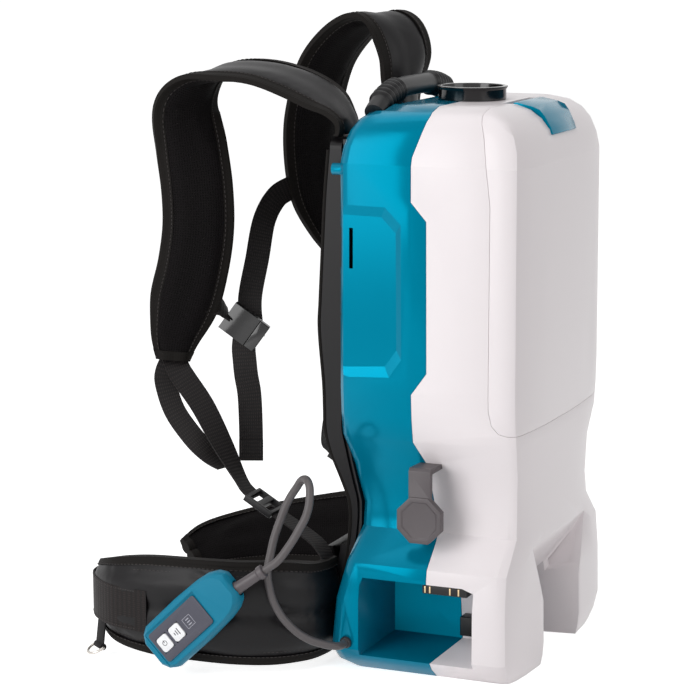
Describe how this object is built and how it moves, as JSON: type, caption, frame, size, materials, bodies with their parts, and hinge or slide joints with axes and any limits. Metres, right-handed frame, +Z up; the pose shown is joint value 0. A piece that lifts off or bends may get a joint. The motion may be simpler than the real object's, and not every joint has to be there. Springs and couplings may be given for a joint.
{
  "type": "cordless backpack vacuum cleaner",
  "caption": "Cordless backpack vacuum cleaner with a hinged dust lid, top hose inlet, battery feet, carry handle, padded harness, hip belt and wired remote.",
  "frame": {"origin": "on the ground plane under the centre of the whole, harness included and the free cord left out", "axes": "+Z up, -Y out of the dust lid, +Y towards the wearer, +X to the right of someone facing the lid"},
  "size_m": [0.4759, 0.4912, 0.6441],
  "materials": {
    "teal_plastic": "moulded, satin to glossy",
    "white_plastic": "moulded, glossy",
    "black_plastic": "moulded, fine texture",
    "grey_plastic": "moulded, fine texture",
    "cord_rubber": "satin cord jacket",
    "black_rubber": "soft, matt",
    "steel": "plain steel",
    "strap_nylon": "close woven nylon with a slight sheen, bound edges",
    "spacer_mesh": "open knitted spacer mesh",
    "webbing": "woven tape",
    "filter_cloth": "nonwoven cloth",
    "board_green": "solder mask",
    "button_white": "soft button caps"
  },
  "bodies": {
    "frame": {"anchor_web_left": "webbing", "anchor_web_right": "webbing", "back_pad": "spacer_mesh", "back_plate": "black_plastic", "bag_collar": "grey_plastic", "battery_catch_left": "black_plastic", "battery_catch_right": "black_plastic", "battery_terminal_left": "black_plastic", "battery_terminal_right": "black_plastic", "bearing_lower": "steel", "bearing_upper": "steel", "belt_tab": "webbing", "belt_web_left": "webbing", "carry_handle": "black_plastic", "chamber_liner": "black_plastic", "chest_buckle_plug": "black_plastic", "chest_buckle_socket": "black_plastic", "chest_web_left": "webbing", "chest_web_right": "webbing", "chest_web_tail": "webbing", "control_board": "board_green", "cord_grommet": "black_rubber", "cord_relief": "cord_rubber", "dust_bag": "filter_cloth", "fan_housing": "black_plastic", "fan_mount": "black_rubber", "fan_tray": "black_plastic", "filter_frame": "black_plastic", "hip_wing_left": "strap_nylon", "hip_wing_right": "strap_nylon", "hose_hook": "grey_plastic", "inlet_seal": "black_rubber", "ladder_lock_left": "black_plastic", "ladder_lock_right": "black_plastic", "lid_gasket": "black_rubber", "lower_web_left": "webbing", "lower_web_right": "webbing", "lumbar_pad": "spacer_mesh", "main_filter": "filter_cloth", "middle_housing": "white_plastic", "motor_stator": "steel", "rear_housing": "teal_plastic", "remote_case": "teal_plastic", "remote_clip": "black_plastic", "remote_cord": "cord_rubber", "remote_panel": "black_plastic", "shoulder_strap_left": "strap_nylon", "shoulder_strap_right": "strap_nylon", "web_tail_left": "webbing"},
    "lid_body": {"lid": "white_plastic", "latch_pin": "steel"},
    "latch_body": {"lid_latch": "teal_plastic"},
    "inlet_body": {"inlet_ring": "black_plastic"},
    "fan_body": {"impeller": "grey_plastic", "motor_shaft": "steel"},
    "power_body": {"power_button": "button_white"},
    "mode_body": {"mode_button": "button_white"},
    "ring_body": {"belt_ring": "steel"}
  },
  "joints": [
    {"name": "lid_hinge", "type": "hinge", "parent": "frame", "child": "lid_body", "pos_m": [0.01285, -0.24555, 0.248], "axis": [1, 0, 0], "range_deg": [0, 75]},
    {"name": "latch_hinge", "type": "hinge", "parent": "lid_body", "child": "latch_body", "pos_m": [0.01285, -0.20255, 0.5545], "axis": [-1, 0, 0], "range_deg": [0, 40]},
    {"name": "inlet_swivel", "type": "hinge", "parent": "frame", "child": "inlet_body", "pos_m": [0.01285, -0.14255, 0.562], "axis": [0, 0, 1], "continuous": true},
    {"name": "fan_spin", "type": "hinge", "parent": "frame", "child": "fan_body", "pos_m": [0.01285, -0.15455, 0.155], "axis": [0, 0, 1], "continuous": true},
    {"name": "power_button", "type": "slide", "parent": "frame", "child": "power_body", "axis": [1, 0, 0], "range_m": [0, 0.001], "stiffness_N_per_m": 400},
    {"name": "mode_button", "type": "slide", "parent": "frame", "child": "mode_body", "axis": [1, 0, 0], "range_m": [0, 0.001], "stiffness_N_per_m": 400},
    {"name": "belt_ring_swing", "type": "hinge", "parent": "frame", "child": "ring_body", "pos_m": [-0.19431, 0.17962, 0.0125], "axis": [0.5932, 0.8051, 0], "range_deg": [-8, 70]}
  ]
}
